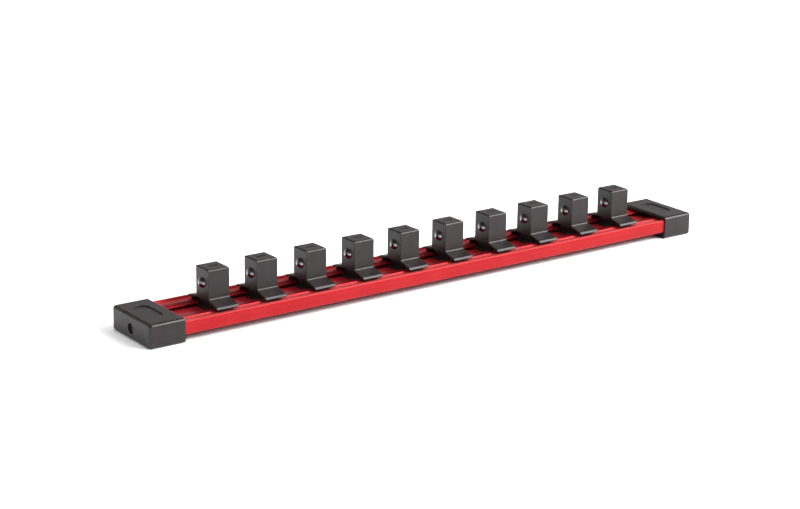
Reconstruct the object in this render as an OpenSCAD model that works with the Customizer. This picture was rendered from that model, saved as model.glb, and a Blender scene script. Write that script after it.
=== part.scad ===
// Socket rail: a slotted rail with two end caps and a row of sliding clips.
// Each clip carries a square drive post with a sprung ball.
// +X runs along the rail, +Z is up, and the origin lies under the middle, on the resting surface.

/* [Rail] */
// Length of the rail
rail_l = 358.7; // [320:0.1:600]
// Width of the rail
rail_w = 37.4; // [34:0.1:50]
// Height of the rail
rail_h = 7.3; // [7:0.1:12]
// Height of the channel's floor over the rail's underside
floor_rise = 4.4; // [4.2:0.1:4.7]
// Thickness of the channel's floor
floor_t = 1.3; // [1:0.1:2]
// Thickness of the rail's side walls
side_t = 1.5; // [1:0.1:2]
// Thickness of each lip under its land
lip_t = 1.2; // [1.1:0.05:1.4]
// Width of the slot between the two lips
slot_w = 13; // [12:0.1:15]
// Width of the raised rim along each edge
rim_w = 1.9; // [1.2:0.1:2.5]
// Height of the rim over the land
rim_rise = 0.5; // [0:0.05:0.7]
// Width of the groove between rim and land
groove_w = 5.3; // [4.4:0.1:5.6]
// Depth of the groove under the land
groove_d = 0.6; // [0.3:0.05:0.9]
// Width of the step beside the slot
step_w = 2.8; // [1:0.1:3.2]
// Depth of the step under the land
step_d = 0.3; // [0.1:0.05:0.5]
// Rounding of the rail's long outer edges
rail_edge_r = 0.6; // [0.2:0.1:1]
// Width of the rib under the floor that holds the screw port
port_w = 4.6; // [4:0.1:6]
// Height of the screw port's axis over the rail's underside
port_rise = 2.1; // [2:0.05:2.4]
// Width of the slit along the underside of the screw port
port_slit_w = 1.1; // [0.6:0.1:1.4]

/* [End caps] */
// Length of each cap along the rail
cap_l = 20.7; // [14:0.1:30]
// Thickness of the cap's side walls
cap_side_t = 0.9; // [0.8:0.1:2.5]
// Thickness of the cap under the rail
cap_floor_t = 3.6; // [2.4:0.1:6]
// Thickness of the cap over the rail
cap_top_t = 2; // [1.4:0.1:3]
// Thickness of the cap's end wall
cap_wall_t = 4.6; // [3.6:0.1:7]
// Rounding of the cap's top edges and end corners
cap_edge_r = 1.9; // [1.4:0.1:2.2]
// Rounding of the cap's lower edges
cap_foot_r = 1.3; // [0.3:0.1:1.4]
// Rounding of the top edge over the cap's mouth
cap_brow_r = 1; // [0.3:0.1:1.3]
// Rounding of the other outer edges round the cap's mouth
cap_mouth_r = 0.3; // [0.1:0.1:0.6]
// Length across the rail of the bare recess on top
badge_l = 21; // [12:0.5:30]
// Width along the rail of the bare recess on top
badge_w = 8.6; // [5:0.1:12]
// Depth of the bare recess on top
badge_d = 0.5; // [0.2:0.1:1]
// Length of the tongues that enter the rail's channel
tongue_l = 6; // [3:0.5:9]
// Depth of the hollows in the underside
core_d = 1.5; // [0.5:0.1:1.8]
// Width of the solid border and rib round the hollows
core_rib = 2.6; // [1.6:0.1:4]

/* [End screws] */
// Radius of the screw's thread
screw_r = 1.45; // [1.2:0.05:1.6]
// Depth of the thread
screw_thread_d = 0.22; // [0.1:0.02:0.3]
// Distance from one thread crest to the next
screw_pitch = 0.9; // [0.6:0.05:1.2]
// Length of the screw under its head
screw_l = 13; // [9:0.5:20]
// Radius of the screw's head
head_r = 2.5; // [2.1:0.1:3]
// Height of the screw's head
head_h = 1.8; // [1.4:0.1:2.2]
// Gap round the head in its hole
head_gap = 0.3; // [0.1:0.05:0.6]
// Depth of the hole that the head sits in
head_hole_d = 3; // [2.6:0.1:3.2]

/* [Clips] */
// Number of clips
clip_count = 10; // [2:1:10]
// Distance from each end of the rail to the middle of the nearest clip
row_margin = 42.1; // [40:0.1:46]
// How far the row is pushed along from the middle
row_shift = 1.1; // [-1.5:0.1:1.5]
// How far single clips are out of step
nudge = 0.6; // [0:0.1:1.5]
// Side of the square drive post
post_w = 12.7; // [12:0.05:14]
// Height of the post over its wings
post_h = 16.05; // [13:0.05:24]
// Rounding of the upright edges of post, stem and foot
post_edge_r = 0.4; // [0.3:0.1:0.6]
// Rounding of the post's top edges
post_top_r = 1; // [0.8:0.1:1.5]
// Height of the wings' roots over the land
shoulder_rise = 4.15; // [3.6:0.05:6]
// Length of the stem along the rail
stem_l = 8.4; // [6:0.1:12]
// Inner rounding between a wing and the post's face
root_r = 0.9; // [0.4:0.1:1.4]
// Length of the mark on top of the post
mark_l = 5.6; // [3:0.1:7]
// Width of the mark on top of the post
mark_w = 1.7; // [1:0.1:3]
// Depth of the mark on top of the post
mark_d = 0.35; // [0.1:0.05:0.8]

/* [Wings] */
// How far a wing drops from root to tip
wing_drop = 2.15; // [1.6:0.05:2.4]
// Thickness of a wing
wing_t = 1.2; // [0.9:0.05:1.3]
// Width of the heel under a wing
heel_w = 1; // [0.5:0.1:2]
// Rounding of a wing's corners, seen from above
wing_corner_r = 0.5; // [0.3:0.1:0.6]
// Size of the bevel on the upper edge of a wing's tip
tip_bevel = 0.7; // [0.4:0.05:0.9]
// How far the heel ends short of the land's edge
wing_inset = 0.1; // [0:0.05:0.6]
// How far a wing's tip reaches past its heel
wing_over = 3.6; // [2:0.1:4.2]

/* [Balls and springs] */
// Radius of the ball
ball_r = 3; // [2.4:0.05:3.1]
// How far the ball stands out of the post
ball_out = 2.1; // [1.4:0.05:2.2]
// Depth of the hole that holds ball and spring
bore_d = 11; // [9.5:0.1:11.2]
// How much narrower the hole's mouth is than the ball
mouth_hold = 0.07; // [0.03:0.01:0.12]
// Thickness of the spring's wire
wire_d = 0.6; // [0.4:0.05:0.7]
// Distance from the spring's axis to the middle of its wire
coil_r = 2.4; // [1.9:0.05:2.5]
// Turns of the spring
coil_turns = 6; // [4:1:6]

/* [Fits] */
// Gap between rail and cap
fit_gap = 0.1; // [0.05:0.05:0.2]
// Gap round the cap's tongues in the channel
tongue_gap = 0.15; // [0.05:0.05:0.3]
// Gap over and under a clip's foot in the channel
foot_gap = 0.15; // [0.1:0.05:0.2]
// Gap beside a clip's stem and foot
side_gap = 0.2; // [0.1:0.05:0.4]
// Gap between a wing's heel and the land
heel_gap = 0.1; // [0.05:0.05:0.2]
// Gap round a ball in its hole, and round a screw in its port
bore_gap = 0.06; // [0.03:0.01:0.1]

/* [Hidden] */
$fn = 64;
over = 1;
rail_z = cap_floor_t + fit_gap;
rail_top = rail_z + rail_h;
floor_top = rail_z + floor_rise;
land_z = rail_top - rim_rise;
lip_under = land_z - lip_t;
land_out = rail_w / 2 - rim_w - groove_w;
land_in = slot_w / 2 + step_w;
channel_half = rail_w / 2 - side_t;
port_z = rail_z + port_rise;
port_bore_r = screw_r + bore_gap;

cap_w = rail_w + 2 * fit_gap + 2 * cap_side_t;
cap_h = rail_top + fit_gap + cap_top_t;
cap_out = rail_l / 2 + cap_wall_t;
cap_in = cap_out - cap_l;
cap_mid = cap_out - cap_l / 2;
screw_seat = cap_out - head_hole_d;
drive_share = 0.6;
cross_l = 2 * head_r * drive_share;
cross_w = cross_l / 4;
cross_d = head_h * drive_share;
screw_core_r = screw_r - screw_thread_d;
screw_tip_l = 2 * screw_r;

shoulder_z = land_z + shoulder_rise;
post_top = shoulder_z + post_h;
heel_z = land_z + heel_gap;
heel_out = land_out - wing_inset;
wing_reach = heel_out + wing_over;
wing_run = wing_reach - post_w / 2;
wing_slope = atan(wing_drop / wing_run);
clip_pitch = (rail_l - 2 * row_margin) / (clip_count - 1);
stem_w = slot_w - 2 * side_gap;
foot_w = 2 * (channel_half - side_gap);
foot_z = floor_top + foot_gap;
foot_top = lip_under - foot_gap;

ball_z = shoulder_z + post_h / 2;
ball_x = -post_w / 2 + ball_r - ball_out;
bore_r = ball_r + bore_gap;
mouth_r = ball_r - mouth_hold;
coil_touch = ball_r + wire_d / 2 + bore_gap;
coil_start = ball_x + sqrt(coil_touch * coil_touch - coil_r * coil_r);
coil_end = -post_w / 2 + bore_d - wire_d / 2 - bore_gap;
coil_pitch = (coil_end - coil_start) / coil_turns;
coil_steps = 8;
coil_sides = 6;

// Shares of the nudge by which each clip is out of step, from the left
nudge_shares = [1, -1, -0.5, 0, 0, 0, 0, 0, 0, 0];

function two(i) = i < 10 ? str("0", i) : str(i);
function clip_x(i) = (i - (clip_count + 1) / 2) * clip_pitch + row_shift + nudge * nudge_shares[i - 1];
function names(word) = [for (i = [1:clip_count]) str(word, two(i))];

// Least gap between the spring's turns, measured from one point to the points of the next turn
echo(least_gap_in_spring =
    min([for (step = [coil_steps / 2:3 * coil_steps / 2]) norm(wire_middle(step) - wire_middle(0))]) - wire_d);

// What a corner loses when it is rounded: the corner is at the origin and the shape lies towards +X +Y
module corner_loss(r) {
    difference() {
        translate([-over, -over]) square(r + over);
        translate([r, r]) circle(r);
    }
}

// A rectangle from its low corner to its high corner, with its own rounding on each corner:
// low left, low right, high right, high left
module soft_rect(low, high, radii) {
    difference() {
        translate(low) square(high - low);
        if (radii[0] > 0) translate(low) corner_loss(radii[0]);
        if (radii[1] > 0) translate([high[0], low[1]]) mirror([1, 0]) corner_loss(radii[1]);
        if (radii[2] > 0) translate(high) mirror([1, 0]) mirror([0, 1]) corner_loss(radii[2]);
        if (radii[3] > 0) translate([low[0], high[1]]) mirror([0, 1]) corner_loss(radii[3]);
    }
}

// What a block loses at a vertical corner when all edges that meet there are rounded. The corner is at
// the origin and the block lies towards +X +Y. Its edges are rounded by r, at its foot by foot_r.
module block_corner_loss(low, high, r, foot_r) {
    difference() {
        translate([-over, -over, low - over]) cube([r + over, r + over, high - low + 2 * over]);
        translate([r, r, 0])
            rotate_extrude()
            soft_rect([0, low], [r, high], [0, foot_r, r, 0]);
    }
}

// A slot shape with round ends, its length along Y
module pill(length, width) {
    square([width, length - width], center = true);
    for (side = [-1, 1])
        translate([0, side * (length - width) / 2]) circle(width / 2);
}

// Sweeps an outline drawn across the rail (Y, Z) along X
module along_x(from, to) {
    translate([from, 0, 0]) rotate([90, 0, 90]) linear_extrude(to - from) children();
}

// Sweeps an outline drawn along the rail (X, Z) along Y, centred
module along_y(width) {
    translate([0, width / 2, 0]) rotate([90, 0, 0]) linear_extrude(width) children();
}

// Draws its children on both sides of the rail's middle plane
module both_sides() {
    children();
    mirror([1, 0]) children();
}

// Cross-section of the rail, seen along X
module rail_section() {
    difference() {
        soft_rect(
            [-rail_w / 2, rail_z],
            [rail_w / 2, rail_top],
            [rail_edge_r, rail_edge_r, rail_edge_r, rail_edge_r]
        );
        // Channel under the lips
        translate([-channel_half, floor_top])
            square([2 * channel_half, lip_under - floor_top]);
        // Slot between the lips
        translate([-slot_w / 2, (floor_top + lip_under) / 2])
            square([slot_w, rail_h]);
        // Steps beside the slot
        translate([-land_in, land_z - step_d])
            square([2 * land_in, rail_h]);
        both_sides() {
            rim_cut();
            // Hollow under the floor
            translate([port_w / 2, rail_z - over])
                square([channel_half - port_w / 2, floor_rise - floor_t + over]);
        }
        // Screw port, open downwards
        translate([0, port_z]) circle(port_bore_r);
        translate([-port_slit_w / 2, rail_z - over])
            square([port_slit_w, port_rise + over]);
    }
}

// What is cut away over the land and the groove, on one side
module rim_cut() {
    rim_in = rail_w / 2 - rim_w;
    groove_z = land_z - groove_d;
    polygon([
        [0, land_z],
        [land_out, land_z],
        [land_out + groove_d / 2, groove_z],
        [rim_in - groove_d / 2, groove_z],
        [rim_in, rail_top],
        [rim_in, rail_top + over],
        [0, rail_top + over],
    ]);
}

module rail() {
    color([0.72, 0.06, 0.08])
        along_x(-rail_l / 2, rail_l / 2) rail_section();
}

// Outer form of the right-hand cap
module cap_block() {
    difference() {
        intersection() {
            linear_extrude(cap_h)
                soft_rect(
                    [cap_in, -cap_w / 2],
                    [cap_out, cap_w / 2],
                    [cap_mouth_r, 0, 0, cap_mouth_r]
                );
            along_x(cap_in, cap_out)
                soft_rect(
                    [-cap_w / 2, 0],
                    [cap_w / 2, cap_h],
                    [cap_foot_r, cap_foot_r, cap_edge_r, cap_edge_r]
                );
            along_y(cap_w)
                soft_rect(
                    [cap_in, 0],
                    [cap_out, cap_h],
                    [cap_mouth_r, cap_foot_r, cap_edge_r, cap_brow_r]
                );
        }
        translate([cap_out, -cap_w / 2, 0])
            rotate([0, 0, 90])
            block_corner_loss(0, cap_h, cap_edge_r, cap_foot_r);
        translate([cap_out, cap_w / 2, 0])
            rotate([0, 0, 180])
            block_corner_loss(0, cap_h, cap_edge_r, cap_foot_r);
    }
}

// The two tongues that go into the rail's channel, under its lips
module cap_tongues() {
    for (side = [-1, 1])
        translate([
            rail_l / 2 - tongue_l,
            side > 0 ? slot_w / 2 : -channel_half + tongue_gap,
            floor_top + tongue_gap
        ])
        cube([
            tongue_l + cap_wall_t / 2,
            channel_half - tongue_gap - slot_w / 2,
            lip_under - floor_top - 2 * tongue_gap
        ]);
}

// Hollows in the cap's underside, which leave a border and a rib to stand on
module cap_cores() {
    core_l = cap_l - 2 * core_rib;
    core_w = (cap_w - 3 * core_rib) / 2;
    for (side = [-1, 1])
        translate([cap_mid, side * (core_w + core_rib) / 2, -over])
            linear_extrude(over + core_d)
            soft_rect(
                [-core_l / 2, -core_w / 2],
                [core_l / 2, core_w / 2],
                [cap_edge_r, cap_edge_r, cap_edge_r, cap_edge_r] / 2
            );
}

// The right-hand cap, in place
module end_cap() {
    color([0.2, 0.19, 0.19]) {
        difference() {
            cap_block();
            // Pocket for the rail
            translate([cap_in - over, -rail_w / 2 - fit_gap, rail_z - fit_gap])
                cube([rail_l / 2 - cap_in + over, rail_w + 2 * fit_gap, rail_h + 2 * fit_gap]);
            // Hole for the screw's head, then for its thread
            translate([screw_seat, 0, port_z])
                rotate([0, 90, 0])
                cylinder(h = head_hole_d + over, r = head_r + head_gap);
            translate([rail_l / 2 - over, 0, port_z])
                rotate([0, 90, 0])
                cylinder(h = cap_wall_t, r = screw_r + head_gap);
            // Bare recess on top
            translate([cap_mid, 0, cap_h - badge_d])
                linear_extrude(badge_d + over)
                pill(badge_l, badge_w);
            cap_cores();
        }
        cap_tongues();
    }
}

// The right-hand screw, in place: head, threaded shank and point
module end_screw() {
    crests = floor((screw_l - screw_tip_l) / screw_pitch);
    color([0.16, 0.16, 0.17])
        translate([screw_seat, 0, port_z])
        rotate([0, -90, 0])
        difference() {
            union() {
                translate([0, 0, -head_h])
                    rotate_extrude()
                    soft_rect([0, 0], [head_r, head_h], [0, head_h / 3, 0, 0]);
                cylinder(h = screw_l - screw_tip_l, r = screw_core_r);
                translate([0, 0, screw_l - screw_tip_l])
                    cylinder(h = screw_tip_l, r1 = screw_core_r, r2 = screw_core_r / 4);
                for (i = [1:crests])
                    translate([0, 0, (i - 1 / 2) * screw_pitch])
                    rotate_extrude()
                    polygon([
                        [0, -screw_thread_d],
                        [screw_core_r, -screw_thread_d],
                        [screw_r, 0],
                        [screw_core_r, screw_thread_d],
                        [0, screw_thread_d],
                    ]);
            }
            // Cross recess in the head
            for (turn = [0, 90])
                rotate([0, 0, turn])
                translate([-cross_l / 2, -cross_w / 2, -head_h - over])
                cube([cross_l, cross_w, cross_d + over]);
        }
}

// Side view of the wings and the plate that joins them under the post, seen along X
module wing_section() {
    under = wing_t / cos(wing_slope);
    tip_z = shoulder_z - wing_drop;
    heel_root = tip_z - under + wing_over * tan(wing_slope);
    both_sides()
        polygon([
            [0, shoulder_z],
            [post_w / 2, shoulder_z],
            [wing_reach - tip_bevel, tip_z + tip_bevel * tan(wing_slope)],
            [wing_reach, tip_z - tip_bevel],
            [wing_reach, tip_z - under],
            [heel_out, heel_root],
            [heel_out, heel_z],
            [heel_out - heel_w, heel_z],
            [heel_out - heel_w, heel_root + heel_w * tan(wing_slope)],
            [post_w / 2, shoulder_z - under],
            [0, shoulder_z - under],
        ]);
}

// Side view of the web that rounds the inner corner between the right-hand wing and the post
module root_section() {
    middle = [post_w / 2 + root_r, shoulder_z + root_r * (1 - sin(wing_slope)) / cos(wing_slope)];
    difference() {
        polygon([
            [0, shoulder_z - wing_t / 2],
            [0, middle[1]],
            middle,
            middle - (root_r + wing_t / 2) * [sin(wing_slope), cos(wing_slope)],
        ]);
        translate(middle) circle(root_r);
    }
}

// Square drive post with its top and upright edges rounded
module post() {
    low = shoulder_z - wing_t;
    half = post_w / 2;
    intersection() {
        along_x(-half, half)
            soft_rect([-half, low], [half, post_top], [0, 0, post_top_r, post_top_r]);
        along_y(post_w)
            soft_rect([-half, low], [half, post_top], [0, 0, post_top_r, post_top_r]);
        linear_extrude(post_top)
            soft_rect(
                [-half, -half],
                [half, half],
                [post_edge_r, post_edge_r, post_edge_r, post_edge_r]
            );
    }
}

// Stem through the slot and T-foot under the lips
module stem_and_foot() {
    stem_top = shoulder_z - wing_t / 2;
    foot_middle = (foot_z + foot_top) / 2;
    translate([0, 0, foot_middle])
        linear_extrude(stem_top - foot_middle)
        soft_rect(
            [-stem_l / 2, -stem_w / 2],
            [stem_l / 2, stem_w / 2],
            [post_edge_r, post_edge_r, post_edge_r, post_edge_r]
        );
    translate([0, 0, foot_z])
        linear_extrude(foot_top - foot_z)
        soft_rect(
            [-post_w / 2, -foot_w / 2],
            [post_w / 2, foot_w / 2],
            [post_edge_r, post_edge_r, post_edge_r, post_edge_r]
        );
}

// One clip, centred on its own axis
module clip(i) {
    color([0.17, 0.16, 0.16])
        translate([clip_x(i), 0, 0])
        difference() {
            union() {
                post();
                along_x(-post_w / 2 + post_edge_r, post_w / 2 - post_edge_r)
                    both_sides() root_section();
                intersection() {
                    along_x(-post_w / 2, post_w / 2) wing_section();
                    linear_extrude(post_top)
                        soft_rect(
                            [-post_w / 2, -wing_reach],
                            [post_w / 2, wing_reach],
                            [wing_corner_r, wing_corner_r, wing_corner_r, wing_corner_r]
                        );
                }
                stem_and_foot();
            }
            // Blind hole for ball and spring, its mouth drawn in to hold the ball
            translate([ball_x, 0, ball_z])
                rotate([0, 90, 0])
                cylinder(h = bore_d - ball_r + ball_out, r = bore_r);
            translate([-post_w / 2, 0, ball_z])
                rotate([0, 90, 0])
                cylinder(h = ball_r - ball_out, r1 = mouth_r, r2 = bore_r);
            translate([-post_w / 2 - over, 0, ball_z])
                rotate([0, 90, 0])
                cylinder(h = over, r = mouth_r);
            // Bare mark on top
            translate([0, 0, post_top - mark_d])
                linear_extrude(mark_d + over)
                rotate(90)
                pill(mark_l, mark_w);
        }
}

// One ball, standing out of the clip's left face
module ball(i) {
    color([0.8, 0.8, 0.82])
        translate([clip_x(i) + ball_x, 0, ball_z])
        sphere(ball_r);
}

// Direction from the spring's axis to its wire, and the wire's middle, at one step
function wire_out(step) = [0, cos(360 * step / coil_steps), sin(360 * step / coil_steps)];
function wire_middle(step) = [coil_start + coil_pitch * step / coil_steps, 0, 0] + coil_r * wire_out(step);

// Points round the spring's wire at one step
function wire_ring(step) =
    [for (k = [0:coil_sides - 1])
        let (turn = 360 * k / coil_sides)
        wire_middle(step) + wire_d / 2 * (cos(turn) * wire_out(step) + [sin(turn), 0, 0])];

// One coil spring between the ball and the end of the hole
module spring(i) {
    rings = coil_steps * coil_turns;
    points = [for (step = [0:rings]) each wire_ring(step)];
    walls = [for (step = [0:rings - 1], k = [0:coil_sides - 1])
        let (a = step * coil_sides + k, b = step * coil_sides + (k + 1) % coil_sides)
        each [[a, b, b + coil_sides], [a, b + coil_sides, a + coil_sides]]];
    ends = [for (k = [1:coil_sides - 2])
        each [[0, k + 1, k], [rings * coil_sides, rings * coil_sides + k, rings * coil_sides + k + 1]]];
    color([0.6, 0.6, 0.62])
        translate([clip_x(i), 0, ball_z])
        polyhedron(points, concat(walls, ends));
}

rail();
mirror([1, 0, 0]) end_cap();  // end_cap_left
end_cap();  // end_cap_right
mirror([1, 0, 0]) end_screw();  // end_screw_left
end_screw();  // end_screw_right
for (i = [1:clip_count]) {
    clip(i);
    ball(i);
    spring(i);
}
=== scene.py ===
"""Looks of a socket rail: a red slotted extrusion, two moulded end caps and a row of clips.

Every length is in metres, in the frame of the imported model: +X runs along the rail, +Z is up, and
the origin lies on the resting surface, under the middle of the rail.
"""

from __future__ import annotations

import logging
import math
from dataclasses import dataclass
from enum import Enum
from typing import Union

import bmesh
import bpy
from mathutils import Matrix, Quaternion, Vector


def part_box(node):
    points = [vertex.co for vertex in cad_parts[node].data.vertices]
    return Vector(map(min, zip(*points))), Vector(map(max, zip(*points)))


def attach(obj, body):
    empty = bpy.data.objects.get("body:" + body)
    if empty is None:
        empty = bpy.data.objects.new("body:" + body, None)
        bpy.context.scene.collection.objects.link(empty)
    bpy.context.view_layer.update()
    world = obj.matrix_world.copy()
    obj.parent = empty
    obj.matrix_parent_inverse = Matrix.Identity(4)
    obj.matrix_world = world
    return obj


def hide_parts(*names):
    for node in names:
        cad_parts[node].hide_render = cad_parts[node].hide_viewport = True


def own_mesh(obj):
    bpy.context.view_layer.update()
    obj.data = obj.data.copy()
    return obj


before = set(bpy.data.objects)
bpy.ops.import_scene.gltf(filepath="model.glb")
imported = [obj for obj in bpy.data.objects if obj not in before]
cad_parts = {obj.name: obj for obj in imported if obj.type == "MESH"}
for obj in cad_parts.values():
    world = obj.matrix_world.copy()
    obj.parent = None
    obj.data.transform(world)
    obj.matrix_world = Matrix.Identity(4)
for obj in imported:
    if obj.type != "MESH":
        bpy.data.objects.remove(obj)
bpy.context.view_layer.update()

MM = 0.001
EDGE = "edge"
ROUNDING = "rounding"
SECTION_TURN = (math.pi / 2, 0.0, math.pi / 2)
REFRACTION = 1.5
LEAST_LENGTH = 1e-9

# Numbers of the Mix node's sockets for colours
MIX_FACTOR = 0
MIX_FIRST = 6
MIX_SECOND = 7
MIX_RESULT = 2

Triple = tuple[float, float, float]
Colour = tuple[float, float, float]
Corner = tuple[float, float, float]
Band = tuple[float, float]
Operand = Union["Field", float]
Shade = Union["Field", Colour]
Settings = dict[str, object]
Inputs = dict[Union[int, str], object]

log = logging.getLogger("socket_rail")


class Slot(Enum):
    """Material slots of the record for the pieces that stand in for CAD nodes."""

    RAIL = "rail_red"
    MOULDING = "moulding_black"
    SPRING = "spring_wire"
    SCREW = "screw_dark"


class Side(Enum):
    """The two ends of the rail, by their words in node names."""

    LEFT = "left"
    RIGHT = "right"


# Shader expressions


class Field:
    """A value or vector socket that takes part in Python expressions.

    An expression on values adds Math nodes to the socket's own tree.
    """

    def __init__(self, recipe: Recipe, socket: bpy.types.NodeSocket) -> None:
        """Wraps a socket.

        Args:
            recipe: The recipe whose tree holds the socket.
            socket: An output socket of that tree.
        """
        self.recipe = recipe
        self.socket = socket

    def maths(self, operation: str, *operands: Operand) -> Field:
        """Adds one Math node.

        Args:
            operation: The Math node's operation.
            operands: What goes into its inputs, in order.

        Returns:
            The node's result.
        """
        inputs = dict(enumerate(operands))
        node = self.recipe.node("ShaderNodeMath", {"operation": operation}, inputs)
        return Field(self.recipe, node.outputs[0])

    def __add__(self, other: Operand) -> Field:
        """self + other."""
        return self.maths("ADD", self, other)

    def __radd__(self, other: Operand) -> Field:
        """other + self."""
        return self.maths("ADD", other, self)

    def __sub__(self, other: Operand) -> Field:
        """self - other."""
        return self.maths("SUBTRACT", self, other)

    def __rsub__(self, other: Operand) -> Field:
        """other - self."""
        return self.maths("SUBTRACT", other, self)

    def __mul__(self, other: Operand) -> Field:
        """self * other."""
        return self.maths("MULTIPLY", self, other)

    def __rmul__(self, other: Operand) -> Field:
        """other * self."""
        return self.maths("MULTIPLY", other, self)

    def __abs__(self) -> Field:
        """abs(self)."""
        return self.maths("ABSOLUTE", self)

    def ramp(self, low: float, high: float) -> Field:
        """Smooth step between two values.

        Args:
            low: The value that becomes 0.
            high: The value that becomes 1.

        Returns:
            A value from 0 to 1.
        """
        settings = {"interpolation_type": "SMOOTHSTEP"}
        inputs = {"Value": self, "From Min": low, "From Max": high}
        node = self.recipe.node("ShaderNodeMapRange", settings, inputs)
        return Field(self.recipe, node.outputs["Result"])

    def swing(self, amount: float) -> Field:
        """Turns a value from 0 to 1 into a swing about zero.

        Args:
            amount: The distance from the lowest to the highest result.

        Returns:
            The swing, from minus to plus half the amount.
        """
        return (self - 0.5) * amount

    def axis(self, letter: str) -> Field:
        """One component of a vector.

        Args:
            letter: X, Y or Z.

        Returns:
            That component as a value.
        """
        node = self.recipe.node("ShaderNodeSeparateXYZ", {}, {"Vector": self})
        return Field(self.recipe, node.outputs[letter])

    def stretched(self, scale: Triple) -> Field:
        """A vector multiplied axis by axis.

        Args:
            scale: The factor along each axis.

        Returns:
            The scaled vector.
        """
        settings = {"operation": "MULTIPLY"}
        node = self.recipe.node("ShaderNodeVectorMath", settings, {0: self, 1: scale})
        return Field(self.recipe, node.outputs[0])


class Recipe:
    """Builds the node tree of one material."""

    def __init__(self, name: str) -> None:
        """Starts an empty material.

        Args:
            name: The material's name.
        """
        self.material = bpy.data.materials.new(name)
        self.material.use_nodes = True
        self.tree = self.material.node_tree
        self.tree.nodes.clear()

    def node(self, kind: str, settings: Settings, inputs: Inputs) -> bpy.types.Node:
        """Adds one node.

        Args:
            kind: The node's type.
            settings: Its own properties, set before its inputs.
            inputs: What goes into its sockets, by name or number: a field or a plain value.

        Returns:
            The node.
        """
        made = self.tree.nodes.new(kind)
        for key, value in settings.items():
            setattr(made, key, value)
        for key, value in inputs.items():
            if isinstance(value, Field):
                self.tree.links.new(value.socket, made.inputs[key])
            else:
                made.inputs[key].default_value = value
        return made

    def place(self) -> Field:
        """Position on the piece, in object coordinates."""
        return Field(self, self.node("ShaderNodeTexCoord", {}, {}).outputs["Object"])

    def facing(self) -> Field:
        """The surface's direction."""
        return Field(self, self.node("ShaderNodeNewGeometry", {}, {}).outputs["Normal"])

    def noise(self, vector: Field, size: float, detail: float, roughness: float) -> Field:
        """Soft random variation from 0 to 1.

        Args:
            vector: Where the noise is read.
            size: The size of its largest features.
            detail: How many finer layers it has.
            roughness: How strong the finer layers are.

        Returns:
            The noise value.
        """
        inputs = {"Vector": vector, "Scale": 1 / size, "Detail": detail, "Roughness": roughness}
        node = self.node("ShaderNodeTexNoise", {}, inputs)
        return Field(self, node.outputs[0])

    def edges(self) -> Field:
        """1 on the piece's rounded edges and 0 elsewhere."""
        node = self.node("ShaderNodeAttribute", {"attribute_name": EDGE}, {})
        return Field(self, node.outputs["Fac"])

    def blend(self, factor: Operand, first: Shade, second: Shade) -> Field:
        """Mixes two colours.

        Args:
            factor: The share of the second colour.
            first: The first colour.
            second: The second colour.

        Returns:
            The mixed colour.
        """
        colours = [c if isinstance(c, Field) else (*c, 1.0) for c in (first, second)]
        settings = {"data_type": "RGBA", "clamp_factor": True}
        inputs = {MIX_FACTOR: factor, MIX_FIRST: colours[0], MIX_SECOND: colours[1]}
        node = self.node("ShaderNodeMix", settings, inputs)
        return Field(self, node.outputs[MIX_RESULT])

    def bump(self, height: Field, depth: float) -> Field:
        """Turns a height into a surface direction.

        Args:
            height: The height, from 0 to 1.
            depth: What a height of 1 stands for.

        Returns:
            The bent direction.
        """
        inputs = {"Height": height, "Strength": 1.0, "Distance": depth}
        node = self.node("ShaderNodeBump", {}, inputs)
        return Field(self, node.outputs["Normal"])

    def surface(self, **inputs: object) -> bpy.types.Material:
        """Ends the tree in one surface shader.

        Args:
            inputs: The shader's sockets by name, with underscores for spaces.

        Returns:
            The finished material.
        """
        named = {key.replace("_", " "): value for key, value in inputs.items()}
        shader = self.node("ShaderNodeBsdfPrincipled", {}, {"IOR": REFRACTION, **named})
        output = self.node("ShaderNodeOutputMaterial", {}, {})
        self.tree.links.new(shader.outputs[0], output.inputs["Surface"])
        return self.material


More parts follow.
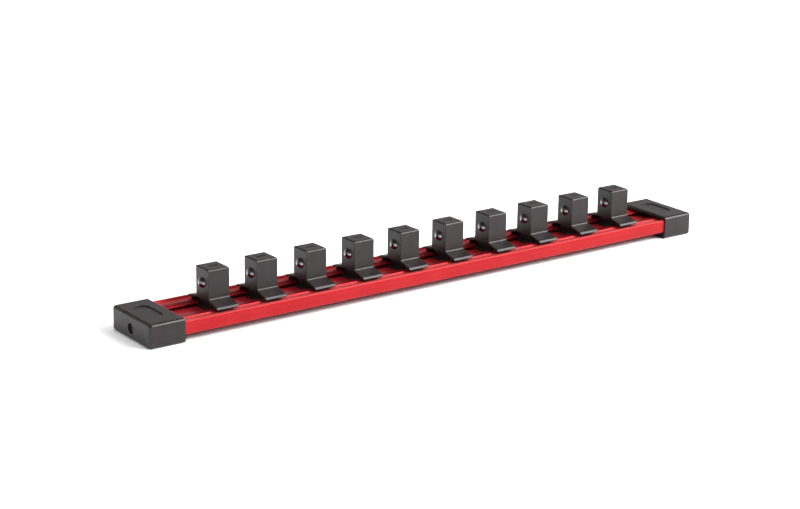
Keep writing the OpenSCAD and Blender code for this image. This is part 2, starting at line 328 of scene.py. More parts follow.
@dataclass(frozen=True)
class MouldedPlastic:
    """Charcoal moulded plastic with a fine eroded grain, rubbed paler on edges and level tops."""

    colour: Colour = (0.011, 0.0075, 0.008)
    pale: Colour = (0.020, 0.0145, 0.0155)
    rubbed: Colour = (0.042, 0.036, 0.037)
    cloud_size: float = 6 * MM
    grain_size: float = 0.35 * MM
    grain_depth: float = 0.012 * MM
    scuff_size: float = 1.1 * MM
    scuff_stretch: Triple = (1.0, 1.0, 3.0)
    level_band: Band = (0.975, 1.0)
    cloud_band: Band = (0.3, 0.7)
    grain_band: Band = (0.45, 0.75)
    top_band: Band = (0.5, 0.8)
    worn_band: Band = (0.42, 0.66)
    cloud_share: float = 0.6
    grain_share: float = 0.25
    top_share: float = 0.22
    worn_share: float = 0.55
    smooth_share: float = 0.7
    roughness: float = 0.38
    edge_roughness: float = 0.27
    cloud_swing: float = 0.12
    grain_swing: float = 0.08
    gloss: float = 0.32

    def material(self) -> bpy.types.Material:
        """Builds the material."""
        recipe = Recipe("moulded_plastic")
        place = recipe.place()
        clouds = recipe.noise(place, self.cloud_size, detail=3.0, roughness=0.55)
        grain = recipe.noise(place, self.grain_size, detail=2.0, roughness=0.6)
        stretched = place.stretched(self.scuff_stretch)
        scuffs = recipe.noise(stretched, self.scuff_size, detail=4.0, roughness=0.65)
        edge = recipe.edges()
        worn = edge * scuffs.ramp(*self.worn_band)
        level = recipe.facing().axis("Z").ramp(*self.level_band)
        pale = clouds.ramp(*self.cloud_band) * self.cloud_share
        pale = pale + grain.ramp(*self.grain_band) * self.grain_share
        tone = recipe.blend(pale, self.colour, self.pale)
        tone = recipe.blend(level * scuffs.ramp(*self.top_band) * self.top_share, tone, self.rubbed)
        tone = recipe.blend(worn * self.worn_share, tone, self.rubbed)
        shine = self.roughness + clouds.swing(self.cloud_swing) + grain.swing(self.grain_swing)
        shine = shine - edge * (self.roughness - self.edge_roughness)
        normal = recipe.bump(grain * (1 - edge * self.smooth_share), self.grain_depth)
        return recipe.surface(
            Base_Color=tone,
            Roughness=shine,
            Normal=normal,
            Specular_IOR_Level=self.gloss,
        )


@dataclass(frozen=True)
class RedAnodising:
    """Red anodised extrusion with faint lines along its length.

    Its level lands are painted deeper red as painted shade and carry the clips' rubbed tracks;
    groove and rim are painted paler as a painted highlight.
    """

    colour: Colour = (0.35, 0.019, 0.022)
    deep: Colour = (0.27, 0.010, 0.014)
    # Painted shade: the darker red painted on the level lands.
    painted_land_shade: Colour = (0.10, 0.003, 0.007)
    # Paler red: real wear on rubbed tracks and edges, and painted highlight on groove and rim.
    bare_wear_and_highlight: Colour = (0.56, 0.12, 0.12)
    glance: Colour = (1.0, 0.10, 0.10)
    line_size: float = 0.22 * MM
    line_stretch: Triple = (0.004, 1.0, 1.0)
    line_depth: float = 0.0035 * MM
    stripe_size: float = 1.98 * MM
    cloud_size: float = 22 * MM
    rub_size: float = 0.16 * MM
    rub_stretch: Triple = (0.02, 1.0, 1.0)
    land_in: float = 6.0 * MM
    land_in_fade: float = 1.0 * MM
    land_out: float = 11.4 * MM
    land_out_fade: float = 0.5 * MM
    track_in: float = 9.6 * MM
    track_out: float = 11.0 * MM
    track_fade: float = 1.0 * MM
    level_band: Band = (0.8, 1.0)
    cloud_band: Band = (0.3, 0.7)
    stripe_band: Band = (0.35, 0.7)
    rub_band: Band = (0.60, 0.74)
    edge_band: Band = (0.5, 0.72)
    cloud_share: float = 0.35
    stripe_share: float = 0.35
    land_shade_share: float = 0.85
    highlight_share: float = 0.35
    rub_share: float = 0.45
    edge_share: float = 0.25
    metal: float = 0.30
    roughness: float = 0.34
    line_swing: float = 0.14
    cloud_swing: float = 0.06
    track_polish: float = 0.05
    gloss: float = 0.45

    def material(self) -> bpy.types.Material:
        """Builds the material."""
        recipe = Recipe("red_anodising")
        place = recipe.place()
        along = place.stretched(self.line_stretch)
        lines = recipe.noise(along, self.line_size, detail=3.0, roughness=0.7)
        stripes = recipe.noise(along, self.stripe_size, detail=2.0, roughness=0.5)
        clouds = recipe.noise(place, self.cloud_size, detail=2.0, roughness=0.5)
        drawn = place.stretched(self.rub_stretch)
        rubs = recipe.noise(drawn, self.rub_size, detail=2.0, roughness=0.6)
        across = abs(place.axis("Y"))
        level = recipe.facing().axis("Z").ramp(*self.level_band)
        # Painted highlight band: the level groove and rim outside the lands.
        outer = level * across.ramp(self.land_out, self.land_out + self.land_out_fade)
        # Mask of the level lands between slot and groove, where the painted shade goes.
        land = level * across.ramp(self.land_in, self.land_in + self.land_in_fade) * (1 - outer)
        track = level * across.ramp(self.track_in, self.track_in + self.track_fade)
        track = track * (1 - across.ramp(self.track_out, self.track_out + self.track_fade))
        deep = clouds.ramp(*self.cloud_band) * self.cloud_share
        deep = deep + stripes.ramp(*self.stripe_band) * self.stripe_share
        tone = recipe.blend(deep, self.colour, self.deep)
        # Painted shade on the lands.
        tone = recipe.blend(land * self.land_shade_share, tone, self.painted_land_shade)
        # Painted highlight on groove and rim.
        tone = recipe.blend(outer * self.highlight_share, tone, self.bare_wear_and_highlight)
        tone = recipe.blend(track * rubs.ramp(*self.rub_band) * self.rub_share, tone, self.bare_wear_and_highlight)
        worn = recipe.edges() * stripes.ramp(*self.edge_band)
        tone = recipe.blend(worn * self.edge_share, tone, self.bare_wear_and_highlight)
        shine = self.roughness + lines.swing(self.line_swing) + clouds.swing(self.cloud_swing)
        shine = shine - track * self.track_polish
        return recipe.surface(
            Base_Color=tone,
            Metallic=self.metal,
            Roughness=shine,
            Normal=recipe.bump(lines, self.line_depth),
            Specular_IOR_Level=self.gloss,
            Specular_Tint=(*self.glance, 1.0),
        )


@dataclass(frozen=True)
class PolishedSteel:
    """Polished steel of a bearing ball, its colour darkened as painted shade for the dark
    surroundings that it mirrors.
    """

    # Darkened colours: painted shade standing in for the dark surroundings that the ball mirrors.
    colour: Colour = (0.25, 0.23, 0.235)
    dull: Colour = (0.15, 0.135, 0.14)
    cloud_size: float = 2.5 * MM
    swirl_size: float = 0.5 * MM
    swirl_stretch: Triple = (1.0, 0.25, 1.0)
    swirl_depth: float = 0.0008 * MM
    dull_band: Band = (0.45, 0.8)
    haze_band: Band = (0.5, 0.8)
    dull_share: float = 0.4
    roughness: float = 0.07
    swirl_haze: float = 0.10
    cloud_haze: float = 0.05

    def material(self) -> bpy.types.Material:
        """Builds the material."""
        recipe = Recipe("polished_steel")
        place = recipe.place()
        clouds = recipe.noise(place, self.cloud_size, detail=3.0, roughness=0.6)
        stretched = place.stretched(self.swirl_stretch)
        swirls = recipe.noise(stretched, self.swirl_size, detail=4.0, roughness=0.7)
        tone = recipe.blend(clouds.ramp(*self.dull_band) * self.dull_share, self.colour, self.dull)
        shine = self.roughness + swirls.ramp(*self.haze_band) * self.swirl_haze
        shine = shine + clouds.ramp(*self.haze_band) * self.cloud_haze
        normal = recipe.bump(swirls, self.swirl_depth)
        return recipe.surface(Base_Color=tone, Metallic=1.0, Roughness=shine, Normal=normal)


@dataclass(frozen=True)
class DrawnWire:
    """Grey spring wire with a trace of oil."""

    colour: Colour = (0.46, 0.45, 0.44)
    oiled: Colour = (0.25, 0.22, 0.18)
    cloud_size: float = 1.6 * MM
    streak_size: float = 0.12 * MM
    streak_stretch: Triple = (3.0, 0.6, 0.6)
    streak_depth: float = 0.002 * MM
    oil_band: Band = (0.45, 0.7)
    wet_band: Band = (0.5, 0.75)
    oil_share: float = 0.7
    roughness: float = 0.28
    streak_swing: float = 0.2
    wet_polish: float = 0.1

    def material(self) -> bpy.types.Material:
        """Builds the material."""
        recipe = Recipe("drawn_wire")
        place = recipe.place()
        clouds = recipe.noise(place, self.cloud_size, detail=2.0, roughness=0.6)
        stretched = place.stretched(self.streak_stretch)
        streaks = recipe.noise(stretched, self.streak_size, detail=3.0, roughness=0.7)
        tone = recipe.blend(clouds.ramp(*self.oil_band) * self.oil_share, self.colour, self.oiled)
        shine = self.roughness + streaks.swing(self.streak_swing)
        shine = shine - clouds.ramp(*self.wet_band) * self.wet_polish
        normal = recipe.bump(streaks, self.streak_depth)
        return recipe.surface(Base_Color=tone, Metallic=1.0, Roughness=shine, Normal=normal)


@dataclass(frozen=True)
class BlackedSteel:
    """Black oxide steel, bright where the driver and the thread have rubbed."""

    colour: Colour = (0.030, 0.030, 0.034)
    bright: Colour = (0.30, 0.29, 0.28)
    grain_size: float = 0.3 * MM
    grain_depth: float = 0.006 * MM
    cloud_size: float = 1.8 * MM
    worn_band: Band = (0.38, 0.62)
    grain_band: Band = (0.6, 0.8)
    worn_share: float = 0.75
    grain_share: float = 0.1
    metal: float = 0.85
    roughness: float = 0.42
    grain_swing: float = 0.2
    worn_polish: float = 0.14

    def material(self) -> bpy.types.Material:
        """Builds the material."""
        recipe = Recipe("blacked_steel")
        place = recipe.place()
        grain = recipe.noise(place, self.grain_size, detail=3.0, roughness=0.65)
        clouds = recipe.noise(place, self.cloud_size, detail=2.0, roughness=0.5)
        worn = recipe.edges() * clouds.ramp(*self.worn_band)
        bright = worn * self.worn_share + grain.ramp(*self.grain_band) * self.grain_share
        tone = recipe.blend(bright, self.colour, self.bright)
        shine = self.roughness + grain.swing(self.grain_swing) - worn * self.worn_polish
        normal = recipe.bump(grain, self.grain_depth)
        return recipe.surface(Base_Color=tone, Metallic=self.metal, Roughness=shine, Normal=normal)


@dataclass(frozen=True)
class PaleSweep:
    """Matt pale paper under the object."""

    colour: Colour = (0.94, 0.94, 0.94)
    fibre: Colour = (0.92, 0.92, 0.92)
    fibre_size: float = 3 * MM
    fibre_band: Band = (0.35, 0.7)
    roughness: float = 0.9

    def material(self) -> bpy.types.Material:
        """Builds the material."""
        recipe = Recipe("pale_sweep")
        fibres = recipe.noise(recipe.place(), self.fibre_size, detail=3.0, roughness=0.6)
        tone = recipe.blend(fibres.ramp(*self.fibre_band), self.colour, self.fibre)
        return recipe.surface(Base_Color=tone, Roughness=self.roughness)


@dataclass
class Finishes:
    """The materials of all pieces, each built once."""

    plastic: bpy.types.Material
    red: bpy.types.Material
    ball: bpy.types.Material
    wire: bpy.types.Material
    screw: bpy.types.Material

    @classmethod
    def build(cls) -> Finishes:
        """Builds every material."""
        return cls(
            plastic=MouldedPlastic().material(),
            red=RedAnodising().material(),
            ball=PolishedSteel().material(),
            wire=DrawnWire().material(),
            screw=BlackedSteel().material(),
        )


# Mesh helpers


def link(name: str, mesh: bpy.types.Mesh) -> bpy.types.Object:
    """Puts a mesh into the scene at the origin.

    Args:
        name: The object's name.
        mesh: Its mesh.

    Returns:
        The object.
    """
    mesh.name = name
    obj = bpy.data.objects.new(name, mesh)
    bpy.context.scene.collection.objects.link(obj)
    return obj


def settle(obj: bpy.types.Object) -> bpy.types.Object:
    """Turns an object's modifiers into a plain mesh and removes them.

    Args:
        obj: The object.

    Returns:
        The same object, with its finished mesh.
    """
    bpy.context.view_layer.update()
    graph = bpy.context.evaluated_depsgraph_get()
    evaluated = obj.evaluated_get(graph)
    mesh = bpy.data.meshes.new_from_object(
        evaluated, preserve_all_data_layers=True, depsgraph=graph
    )
    old = obj.data
    obj.modifiers.clear()
    obj.data = mesh
    name = old.name
    bpy.data.meshes.remove(old)
    mesh.name = name
    return obj


def mark_edges(
    mesh: bpy.types.Mesh, widest: float = 0.6 * MM, least_bend: float = math.radians(4)
) -> None:
    """Writes 1 on the narrow faces of rounded outer edges and 0 on all others.

    Args:
        mesh: The mesh.
        widest: The widest face that still counts.
        least_bend: The least angle that such a face makes with a neighbour.
    """
    work = bmesh.new()
    work.from_mesh(mesh)
    work.normal_update()
    values = []
    for face in work.faces:
        width = 2 * face.calc_area() / max(face.calc_perimeter(), LEAST_LENGTH)
        bends = [e.calc_face_angle_signed(0.0) for e in face.edges if len(e.link_faces) == 2]
        rounded = width < widest and max(bends, default=0.0) > least_bend
        values.append(1.0 if rounded else 0.0)
    work.free()
    layer = mesh.attributes.new(EDGE, "FLOAT", "FACE")
    layer.data.foreach_set("value", values)


def dress(
    obj: bpy.types.Object, material: bpy.types.Material, body: str, node: str
) -> None:
    """Gives a finished piece its material, its body and the node that it stands for.

    Args:
        obj: The piece.
        material: Its material.
        body: The body that it rides on.
        node: The CAD node that it replaces.
    """
    obj.data.materials.clear()
    obj.data.materials.append(material)
    mark_edges(obj.data)
    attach(obj, body)
    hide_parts(node)
    log.info("%s rides on %s: %d faces", obj.name, body, len(obj.data.polygons))


@dataclass(frozen=True)
class Softening:
    """Makes a copy of a CAD node whose sharp edges get the small roundings of the real piece."""

    rounding: float
    segments: int = 3
    sharpest: float = math.radians(32)
    flat: float = math.radians(0.6)
    weld: float = 0.001 * MM

    def copy(self, node: str, name: str) -> bpy.types.Object:
        """Copies one CAD node.

        Args:
            node: The CAD node's name.
            name: The new piece's name.

        Returns:
            The piece, with merged faces and rounded edges.
        """
        work = bmesh.new()
        work.from_mesh(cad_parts[node].data)
        bmesh.ops.remove_doubles(work, verts=work.verts, dist=self.weld)
        bmesh.ops.dissolve_limit(work, angle_limit=self.flat, verts=work.verts, edges=work.edges)
        mesh = bpy.data.meshes.new(name)
        work.to_mesh(mesh)
        work.free()
        mesh.shade_smooth()
        obj = link(name, mesh)
        bevel = obj.modifiers.new("soft edges", "BEVEL")
        bevel.width = self.rounding
        bevel.segments = self.segments
        bevel.limit_method = "ANGLE"
        bevel.angle_limit = self.sharpest
        bevel.use_clamp_overlap = True
        weighted = obj.modifiers.new("flat faces", "WEIGHTED_NORMAL")
        weighted.keep_sharp = True
        return settle(obj)


class Growth:
    """Builds a Geometry Nodes tree and turns what it makes into a plain mesh."""

    def __init__(self, name: str) -> None:
        """Starts a tree with a geometry input and output.

        Args:
            name: The tree's name.
        """
        self.tree = bpy.data.node_groups.new(name, "GeometryNodeTree")
        sockets = self.tree.interface
        sockets.new_socket("Geometry", in_out="INPUT", socket_type="NodeSocketGeometry")
        sockets.new_socket("Geometry", in_out="OUTPUT", socket_type="NodeSocketGeometry")
        self.source = self.tree.nodes.new("NodeGroupInput")
        self.sink = self.tree.nodes.new("NodeGroupOutput")
        self.values: dict[str, Union[float, int]] = {}

    @property
    def base(self) -> bpy.types.NodeSocket:
        """The geometry that the tree starts from."""
        return self.source.outputs["Geometry"]

    def number(self, name: str, value: Union[float, int]) -> bpy.types.NodeSocket:
        """Adds a named input.

        Args:
            name: The input's name.
            value: Its value; a whole number makes a whole-number input.

        Returns:
            The socket that carries it inside the tree.
        """
        kind = "NodeSocketInt" if isinstance(value, int) else "NodeSocketFloat"
        socket = self.tree.interface.new_socket(name, in_out="INPUT", socket_type=kind)
        self.values[socket.identifier] = value
        return self.source.outputs[name]

    def node(self, kind: str, settings: Settings, inputs: Inputs) -> bpy.types.Node:
        """Adds one node.

        Args:
            kind: The node's type.
            settings: Its own properties, set before its inputs.
            inputs: What goes into its sockets: another socket or a plain value.

        Returns:
            The node.
        """
        made = self.tree.nodes.new(kind)
        for key, value in settings.items():
            setattr(made, key, value)
        for key, value in inputs.items():
            if isinstance(value, bpy.types.NodeSocket):
                self.tree.links.new(value, made.inputs[key])
            else:
                made.inputs[key].default_value = value
        return made

    def swept(
        self, path: bpy.types.NodeSocket, section: bpy.types.NodeSocket
    ) -> bpy.types.NodeSocket:
        """Sweeps a section along a path.

        Args:
            path: The curve to follow.
            section: The curve that is swept.

        Returns:
            The mesh, with closed ends.
        """
        inputs = {"Curve": path, "Profile Curve": section, "Fill Caps": True}
        return self.node("GeometryNodeCurveToMesh", {}, inputs).outputs[0]

    def attribute(self, name: str) -> bpy.types.NodeSocket:
        """Reads a named number of the geometry."""
        node = self.node("GeometryNodeInputNamedAttribute", {"data_type": "FLOAT"}, {"Name": name})
        return node.outputs["Attribute"]

    def maths(self, operation: str, *operands: object) -> bpy.types.NodeSocket:
        """Adds one Math node.

        Args:
            operation: The Math node's operation.
            operands: What goes into its inputs, in order.

        Returns:
            Its result.
        """
        inputs = dict(enumerate(operands))
        return self.node("ShaderNodeMath", {"operation": operation}, inputs).outputs[0]

    def grow(
        self,
        name: str,
        seed: bpy.types.Mesh,
        shape: bpy.types.NodeSocket,
        material: bpy.types.Material,
    ) -> bpy.types.Object:
        """Ends the tree, runs it on a mesh and keeps the result.

        Args:
            name: The new piece's name.
            seed: The mesh that the tree starts from.
            shape: The geometry to keep.
            material: The material that the tree sets.

        Returns:
            The piece, as a plain mesh.
        """
        real = self.node("GeometryNodeRealizeInstances", {}, {"Geometry": shape})
        inputs = {"Geometry": real.outputs[0], "Material": material}
        painted = self.node("GeometryNodeSetMaterial", {}, inputs)
        self.tree.links.new(painted.outputs[0], self.sink.inputs[0])
        obj = link(name, seed)
        modifier = obj.modifiers.new("growth", "NODES")
        modifier.node_group = self.tree
        for identifier, value in self.values.items():
            modifier[identifier] = value
        face_outwards(settle(obj).data)
        return obj


def face_outwards(mesh: bpy.types.Mesh) -> None:
    """Turns every face of a closed mesh outwards."""
    work = bmesh.new()
    work.from_mesh(mesh)
    bmesh.ops.recalc_face_normals(work, faces=work.faces)
    work.to_mesh(mesh)
    work.free()


def outline_mesh(points: list[tuple[float, float]], roundings: list[float]) -> bpy.types.Mesh:
    """A closed outline as edges in the XY plane, with a rounding on each corner.

    Args:
        points: The corners, in order.
        roundings: The rounding of each corner.

    Returns:
        The mesh.
    """
    mesh = bpy.data.meshes.new("outline")
    count = len(points)
    edges = [(i, (i + 1) % count) for i in range(count)]
    mesh.from_pydata([(a, b, 0.0) for a, b in points], edges, [])
    layer = mesh.attributes.new(ROUNDING, "FLOAT", "POINT")
    layer.data.foreach_set("value", roundings)
    return mesh


def shade_by_angle(mesh: bpy.types.Mesh, angle: float = math.radians(35)) -> None:
    """Shades a mesh smoothly, apart from edges sharper than an angle.

    Args:
        mesh: The mesh.
        angle: The sharpest edge that stays smooth.
    """
    mesh.shade_smooth()
    mesh.set_sharp_from_angle(angle=angle)


# Pieces


@dataclass
class Rail:
    """The extruded rail: raised floor, side walls, two lips beside a slot, and the screw port."""

    floor_rise: float = 4.4 * MM
    floor: float = 1.3 * MM
    wall: float = 1.5 * MM
    lip: float = 1.2 * MM
    slot: float = 13 * MM
    rim: float = 1.9 * MM
    rim_rise: float = 0.5 * MM
    groove: float = 5.3 * MM
    groove_depth: float = 0.6 * MM
    step: float = 2.8 * MM
    step_depth: float = 0.3 * MM
    port: float = 4.6 * MM
    port_rise: float = 2.1 * MM
    port_bore: float = 1.51 * MM
    port_slit: float = 1.1 * MM
    outer_rounding: float = 0.6 * MM
    lip_rounding: float = 0.22 * MM
    inner_rounding: float = 0.12 * MM
    rounding_steps: int = 3
    arc_steps: int = 14

    def half_outline(self) -> list[Corner]:
        """Corners of the section on its +Y side, from the bore's top to the middle of the floor.

        Returns:
            Y, Z and rounding of each corner.
        """
        low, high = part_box("rail")
        half = high.y
        base = low.z
        top = high.z
        land = top - self.rim_rise
        under = land - self.lip
        trough = land - self.groove_depth
        channel = half - self.wall
        floor = base + self.floor_rise
        hollow = floor - self.floor
        rim_in = half - self.rim
        land_out = rim_in - self.groove
        land_in = self.slot / 2 + self.step
        centre = base + self.port_rise
        brink = math.asin(self.port_slit / 2 / self.port_bore)
        return [
            *self.arc(centre, self.port_bore, math.pi / 2, brink - math.pi / 2),
            (self.port_slit / 2, base, self.inner_rounding),
            (self.port / 2, base, self.inner_rounding),
            (self.port / 2, hollow, self.inner_rounding),
            (channel, hollow, self.inner_rounding),
            (channel, base, self.inner_rounding),
            (half, base, self.outer_rounding),
            (half, top, self.outer_rounding),
            (rim_in, top, self.lip_rounding),
            (rim_in - self.groove_depth / 2, trough, self.lip_rounding),
            (land_out + self.groove_depth / 2, trough, self.lip_rounding),
            (land_out, land, self.lip_rounding),
            (land_in, land, self.inner_rounding),
            (land_in, land - self.step_depth, self.inner_rounding),
            (self.slot / 2, land - self.step_depth, self.lip_rounding),
            (self.slot / 2, under, self.lip_rounding),
            (channel, under, self.inner_rounding),
            (channel, floor, self.inner_rounding),
            (0.0, floor, 0.0),
        ]

    def arc(self, centre: float, radius: float, start: float, end: float) -> list[Corner]:
        """Points on a round stretch of the section.

        Args:
            centre: Height of the arc's centre.
            radius: Its radius.
            start: Its first angle.
            end: Its last angle.

        Returns:
            Y, Z and no rounding for each point.
        """
        angles = [start + (end - start) * k / self.arc_steps for k in range(self.arc_steps + 1)]
        return [(radius * math.cos(a), centre + radius * math.sin(a), 0.0) for a in angles]

    def build(self, finishes: Finishes) -> None:
        """Sweeps the section along the rail."""
        right = self.half_outline()
        left = [(-y, z, r) for y, z, r in reversed(right[1:-1])]
        loop = right + left
        low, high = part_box("rail")
        growth = Growth("extrusion")
        length = growth.number("Length", high.x - low.x)
        curve = growth.node("GeometryNodeMeshToCurve", {}, {0: growth.base})
        soft = growth.node(
            "GeometryNodeFilletCurve",
            {"mode": "POLY"},
            {
                "Curve": curve.outputs[0],
                "Count": growth.number("Rounding steps", self.rounding_steps),
                "Radius": growth.attribute(ROUNDING),
                "Limit Radius": True,
            },
        )
        end = growth.node("ShaderNodeCombineXYZ", {}, {"Z": length})
        path = growth.node("GeometryNodeCurvePrimitiveLine", {}, {"End": end.outputs[0]})
        swept = growth.swept(path.outputs[0], soft.outputs[0])
        laid = growth.node(
            "GeometryNodeTransform",
            {},
            {"Geometry": swept, "Translation": (low.x, 0.0, 0.0), "Rotation": SECTION_TURN},
        )
        seed = outline_mesh([(y, z) for y, z, _ in loop], [r for _, _, r in loop])
        obj = growth.grow("rail_extrusion", seed, laid.outputs[0], finishes.red)
        shade_by_angle(obj.data)
        dress(obj, finishes.red, "root", "rail")


@dataclass
class EndCap:
    """One moulded end cap."""

    side: Side
    softening: Softening = Softening(rounding=0.2 * MM)

    def build(self, finishes: Finishes) -> None:
        """Makes the cap with softened edges."""
        node = f"end_cap_{self.side.value}"
        obj = self.softening.copy(node, f"cap_{self.side.value}")
        dress(obj, finishes.plastic, "root", node)


@dataclass
class EndScrew:
    """One end screw, deep in its cap."""

    side: Side
    softening: Softening = Softening(rounding=0.08 * MM, segments=2)

    def build(self, finishes: Finishes) -> None:
        """Makes the screw with softened edges."""
        node = f"end_screw_{self.side.value}"
        obj = self.softening.copy(node, f"screw_{self.side.value}")
        dress(obj, finishes.screw, "root", node)


@dataclass
class Spring:
    """The coil spring behind one ball, its turns closer together towards both ends."""

    word: str
    wire: float = 0.6 * MM
    turns: int = 6
    steps_per_turn: int = 32
    wire_sides: int = 12
    even_share: float = 0.55
    travel: float = 2.1 * MM

    def build(self, finishes: Finishes) -> None:
        """Winds the wire along its axis."""
        node = f"spring_{self.word}"
        low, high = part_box(node)
        middle = (low + high) / 2
        start = low.x + self.wire / 2
        growth = Growth(f"coil_{self.word}")
        length = growth.number("Length", high.x - low.x - self.wire)
        radius = growth.number("Coil radius", (high.z - low.z - self.wire) / 2)
        thick = growth.number("Wire radius", self.wire / 2)
        section = {"Resolution": self.wire_sides, "Radius": thick}
        ring = growth.node("GeometryNodeCurvePrimitiveCircle", {}, section)
        coil = growth.swept(self.middle_line(growth, length, radius), ring.outputs[0])
        place = {"Geometry": coil, "Translation": (start, middle.y, middle.z)}
        laid = growth.node("GeometryNodeTransform", {}, place)
        seed = bpy.data.meshes.new("coil")
        obj = growth.grow(f"coil_{self.word}", seed, laid.outputs[0], finishes.wire)
        shade_by_angle(obj.data)
        dress(obj, finishes.wire, f"clip_{self.word}", node)
        kept = 1 - self.travel / (high.x - start)
        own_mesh(obj)

    def middle_line(
        self, growth: Growth, length: bpy.types.NodeSocket, radius: bpy.types.NodeSocket
    ) -> bpy.types.NodeSocket:
        """Winds the wire's middle line round the X axis, closer towards both ends.

        Args:
            growth: The tree that it is made in.
            length: How far it climbs.
            radius: Its distance from the axis.

        Returns:
            The curve.
        """
        turns = growth.number("Turns", self.turns)
        even = growth.number("Even share", self.even_share)
        line = growth.node("GeometryNodeCurvePrimitiveLine", {}, {})
        count = self.turns * self.steps_per_turn + 1
        resampled = {"Curve": line.outputs[0], "Count": count}
        fine = growth.node("GeometryNodeResampleCurve", {}, resampled)
        along = growth.node("GeometryNodeSplineParameter", {}, {}).outputs["Factor"]
        smooth = {"interpolation_type": "SMOOTHSTEP"}
        eased = growth.node("ShaderNodeMapRange", smooth, {"Value": along}).outputs[0]
        eased_share = growth.maths("SUBTRACT", 1.0, even)
        climb = growth.maths(
            "ADD",
            growth.maths("MULTIPLY", along, even),
            growth.maths("MULTIPLY", eased, eased_share),
        )
        angle = growth.maths("MULTIPLY", growth.maths("MULTIPLY", along, turns), math.tau)
        place = growth.node(
            "ShaderNodeCombineXYZ",
            {},
            {
                "X": growth.maths("MULTIPLY", climb, length),
                "Y": growth.maths("MULTIPLY", growth.maths("COSINE", angle), radius),
                "Z": growth.maths("MULTIPLY", growth.maths("SINE", angle), radius),
            },
        )
        moved = {"Geometry": fine.outputs[0], "Position": place.outputs[0]}
        return growth.node("GeometryNodeSetPosition", {}, moved).outputs[0]


@dataclass
class Clip:
    """One sliding clip with its ball and spring."""

    number: int
    softening: Softening = Softening(rounding=0.3 * MM)

    @property
    def word(self) -> str:
        """The clip's number in node names."""
        return f"{self.number:02d}"

    def build(self, finishes: Finishes) -> None:
        """Makes the clip with softened edges and finishes its ball and spring."""
        node = f"clip_{self.word}"
        obj = self.softening.copy(node, f"holder_{self.word}")
        dress(obj, finishes.plastic, node, node)
        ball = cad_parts[f"ball_{self.word}"]
        ball.data.materials.clear()
        ball.data.materials.append(finishes.ball)
        Spring(self.word).build(finishes)


# Studio


def gaze(place: Triple, aim: Triple) -> Quaternion:
    """The turn that points a camera or lamp from its place at its aim."""
    return (Vector(aim) - Vector(place)).to_track_quat("-Z", "Y")


@dataclass
class Viewpoint:
    """The photograph's camera."""

    place: Triple = (-0.65017, -0.87219, 0.34903)
    aim: Triple = (0.00293, 0.02651, 0.006)
    roll: float = math.radians(0.645)
    focal_length_mm: float = 92.44
    sensor_mm: float = 36.0
    nearest: float = 0.01
    farthest: float = 20.0

    def build(self) -> None:
        """Makes the scene's camera."""
        data = bpy.data.cameras.new("camera")
        data.lens = self.focal_length_mm
        data.sensor_width = self.sensor_mm
        data.clip_start = self.nearest
        data.clip_end = self.farthest
        camera = bpy.data.objects.new("camera", data)
        bpy.context.scene.collection.objects.link(camera)
        turn = gaze(self.place, self.aim).to_matrix().to_4x4()
        roll = Matrix.Rotation(self.roll, 4, "Z")
        camera.matrix_world = Matrix.Translation(self.place) @ turn @ roll
        bpy.context.scene.camera = camera


@dataclass
class Lamp:
    """One soft box."""

    name: str
    place: Triple
    size: tuple[float, float]
    power: float
    aim: Triple = (0.0, 0.0, 0.02)
    mirrored: bool = True

    def build(self) -> None:
        """Hangs the soft box; one that is not mirrored shows in no reflection."""
        data = bpy.data.lights.new(self.name, "AREA")
        data.shape = "RECTANGLE"
        data.size, data.size_y = self.size
        data.energy = self.power
        lamp = bpy.data.objects.new(self.name, data)
        lamp.location = self.place
        lamp.rotation_euler = gaze(self.place, self.aim).to_euler()
        lamp.visible_glossy = self.mirrored
        bpy.context.scene.collection.objects.link(lamp)


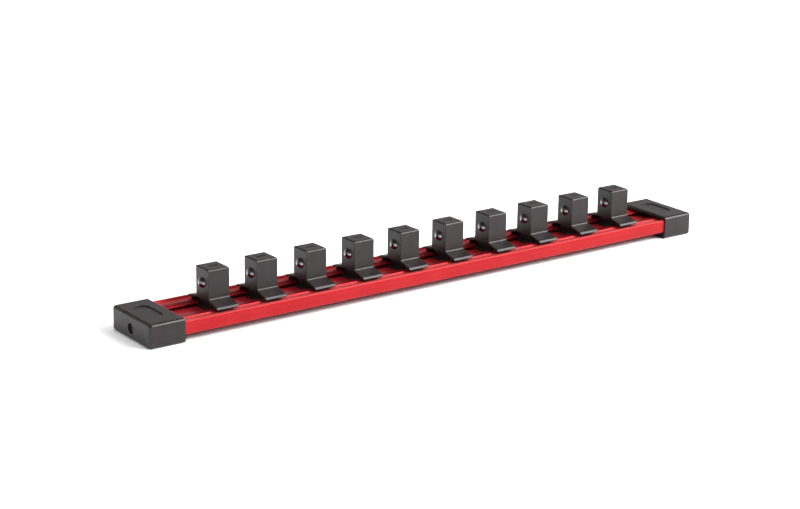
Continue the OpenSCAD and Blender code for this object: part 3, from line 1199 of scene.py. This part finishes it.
@dataclass
class Studio:
    """Pale sweep, soft boxes and a plain bright surround that is darker overhead."""

    floor_reach: float = 4.0
    floor_drop: float = 0.2 * MM
    horizon: float = 1.05
    zenith: float = 0.10
    horizon_top: float = 0.10
    zenith_start: float = 0.62

    def build(self) -> None:
        """Sets up floor, light and surround."""
        self.build_floor()
        for lamp in self.lamps():
            lamp.build()
        self.build_surround()
        scene = bpy.context.scene
        scene.view_settings.view_transform = "Standard"
        scene.view_settings.look = "None"

    def lamps(self) -> list[Lamp]:
        """The soft boxes."""
        return [
            Lamp("front_box", place=(1.15, -1.15, 1.25), size=(1.6, 1.2), power=85.0),
            Lamp(
                "roof_box",
                place=(0.3, 0.5, 2.4),
                size=(5.0, 5.0),
                power=120.0,
                aim=(0.3, 0.5, 0.0),
                mirrored=False,
            ),
        ]

    def build_floor(self) -> None:
        """Lays the sweep just under the resting surface."""
        mesh = bpy.data.meshes.new("sweep")
        reach = self.floor_reach
        corners = [(-reach, -reach), (reach, -reach), (reach, reach), (-reach, reach)]
        mesh.from_pydata([(x, y, -self.floor_drop) for x, y in corners], [], [(0, 1, 2, 3)])
        floor = link("sweep", mesh)
        floor.data.materials.append(PaleSweep().material())

    def build_surround(self) -> None:
        """Makes the surround bright at the horizon and darker overhead."""
        world = bpy.data.worlds.new("surround")
        world.use_nodes = True
        tree = world.node_tree
        tree.nodes.clear()
        place = tree.nodes.new("ShaderNodeTexCoord")
        split = tree.nodes.new("ShaderNodeSeparateXYZ")
        tree.links.new(place.outputs["Generated"], split.inputs[0])
        ramp = tree.nodes.new("ShaderNodeMapRange")
        ramp.interpolation_type = "SMOOTHSTEP"
        ramp.inputs["From Min"].default_value = self.horizon_top
        ramp.inputs["From Max"].default_value = self.zenith_start
        ramp.inputs["To Min"].default_value = self.horizon
        ramp.inputs["To Max"].default_value = self.zenith
        tree.links.new(split.outputs["Z"], ramp.inputs["Value"])
        glow = tree.nodes.new("ShaderNodeBackground")
        tree.links.new(ramp.outputs["Result"], glow.inputs["Strength"])
        output = tree.nodes.new("ShaderNodeOutputWorld")
        tree.links.new(glow.outputs[0], output.inputs["Surface"])
        bpy.context.scene.world = world


def clip_count() -> int:
    """How many clips the frame holds."""
    return sum(name.startswith("clip_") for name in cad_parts)


def main() -> None:
    """Builds the studio and every piece, in order."""
    logging.basicConfig(level=logging.INFO, format="%(message)s")
    Viewpoint().build()
    Studio().build()
    finishes = Finishes.build()
    Rail().build(finishes)
    for side in Side:
        EndCap(side).build(finishes)
        EndScrew(side).build(finishes)
    for number in range(1, clip_count() + 1):
        Clip(number).build(finishes)


if __name__ == "__main__":
    main()
